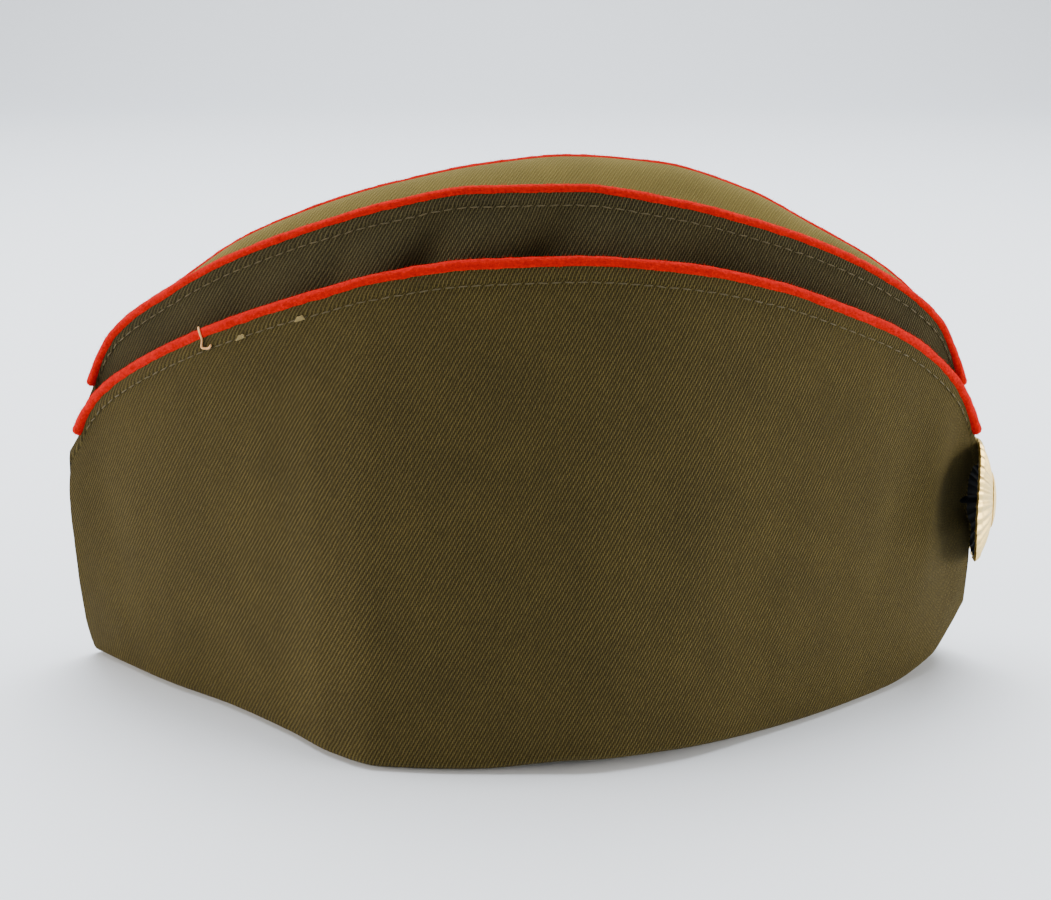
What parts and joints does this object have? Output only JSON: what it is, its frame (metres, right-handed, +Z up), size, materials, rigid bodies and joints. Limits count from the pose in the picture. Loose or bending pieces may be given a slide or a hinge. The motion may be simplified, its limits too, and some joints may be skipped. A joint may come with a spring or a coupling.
{
  "type": "garrison cap",
  "caption": "Folding cloth garrison cap with piped seams, opened and standing on its hem, with an oval rayed cockade at the front.",
  "frame": {"origin": "middle of the underside of the cap's box, on the surface that the hem stands on", "axes": "+X to the front of the cap and its cockade, +Y to the wearer's left, +Z up"},
  "size_m": [0.2436, 0.123, 0.132],
  "materials": {
    "wool_twill": "matte olive wool-blend twill",
    "piping": "matte red felted wool",
    "gilt": "pale gold, satin"
  },
  "bodies": {
    "root": {"flap_right": "wool_twill", "flap_left": "wool_twill", "crown_side_right": "wool_twill", "crown_side_left": "wool_twill", "crown_top": "wool_twill", "flap_piping_right": "piping", "flap_piping_left": "piping", "ridge_piping_right": "piping", "ridge_piping_left": "piping", "cockade_rays": "gilt", "cockade_centre": "gilt", "cockade_pin": "gilt"}
  },
  "joints": []
}
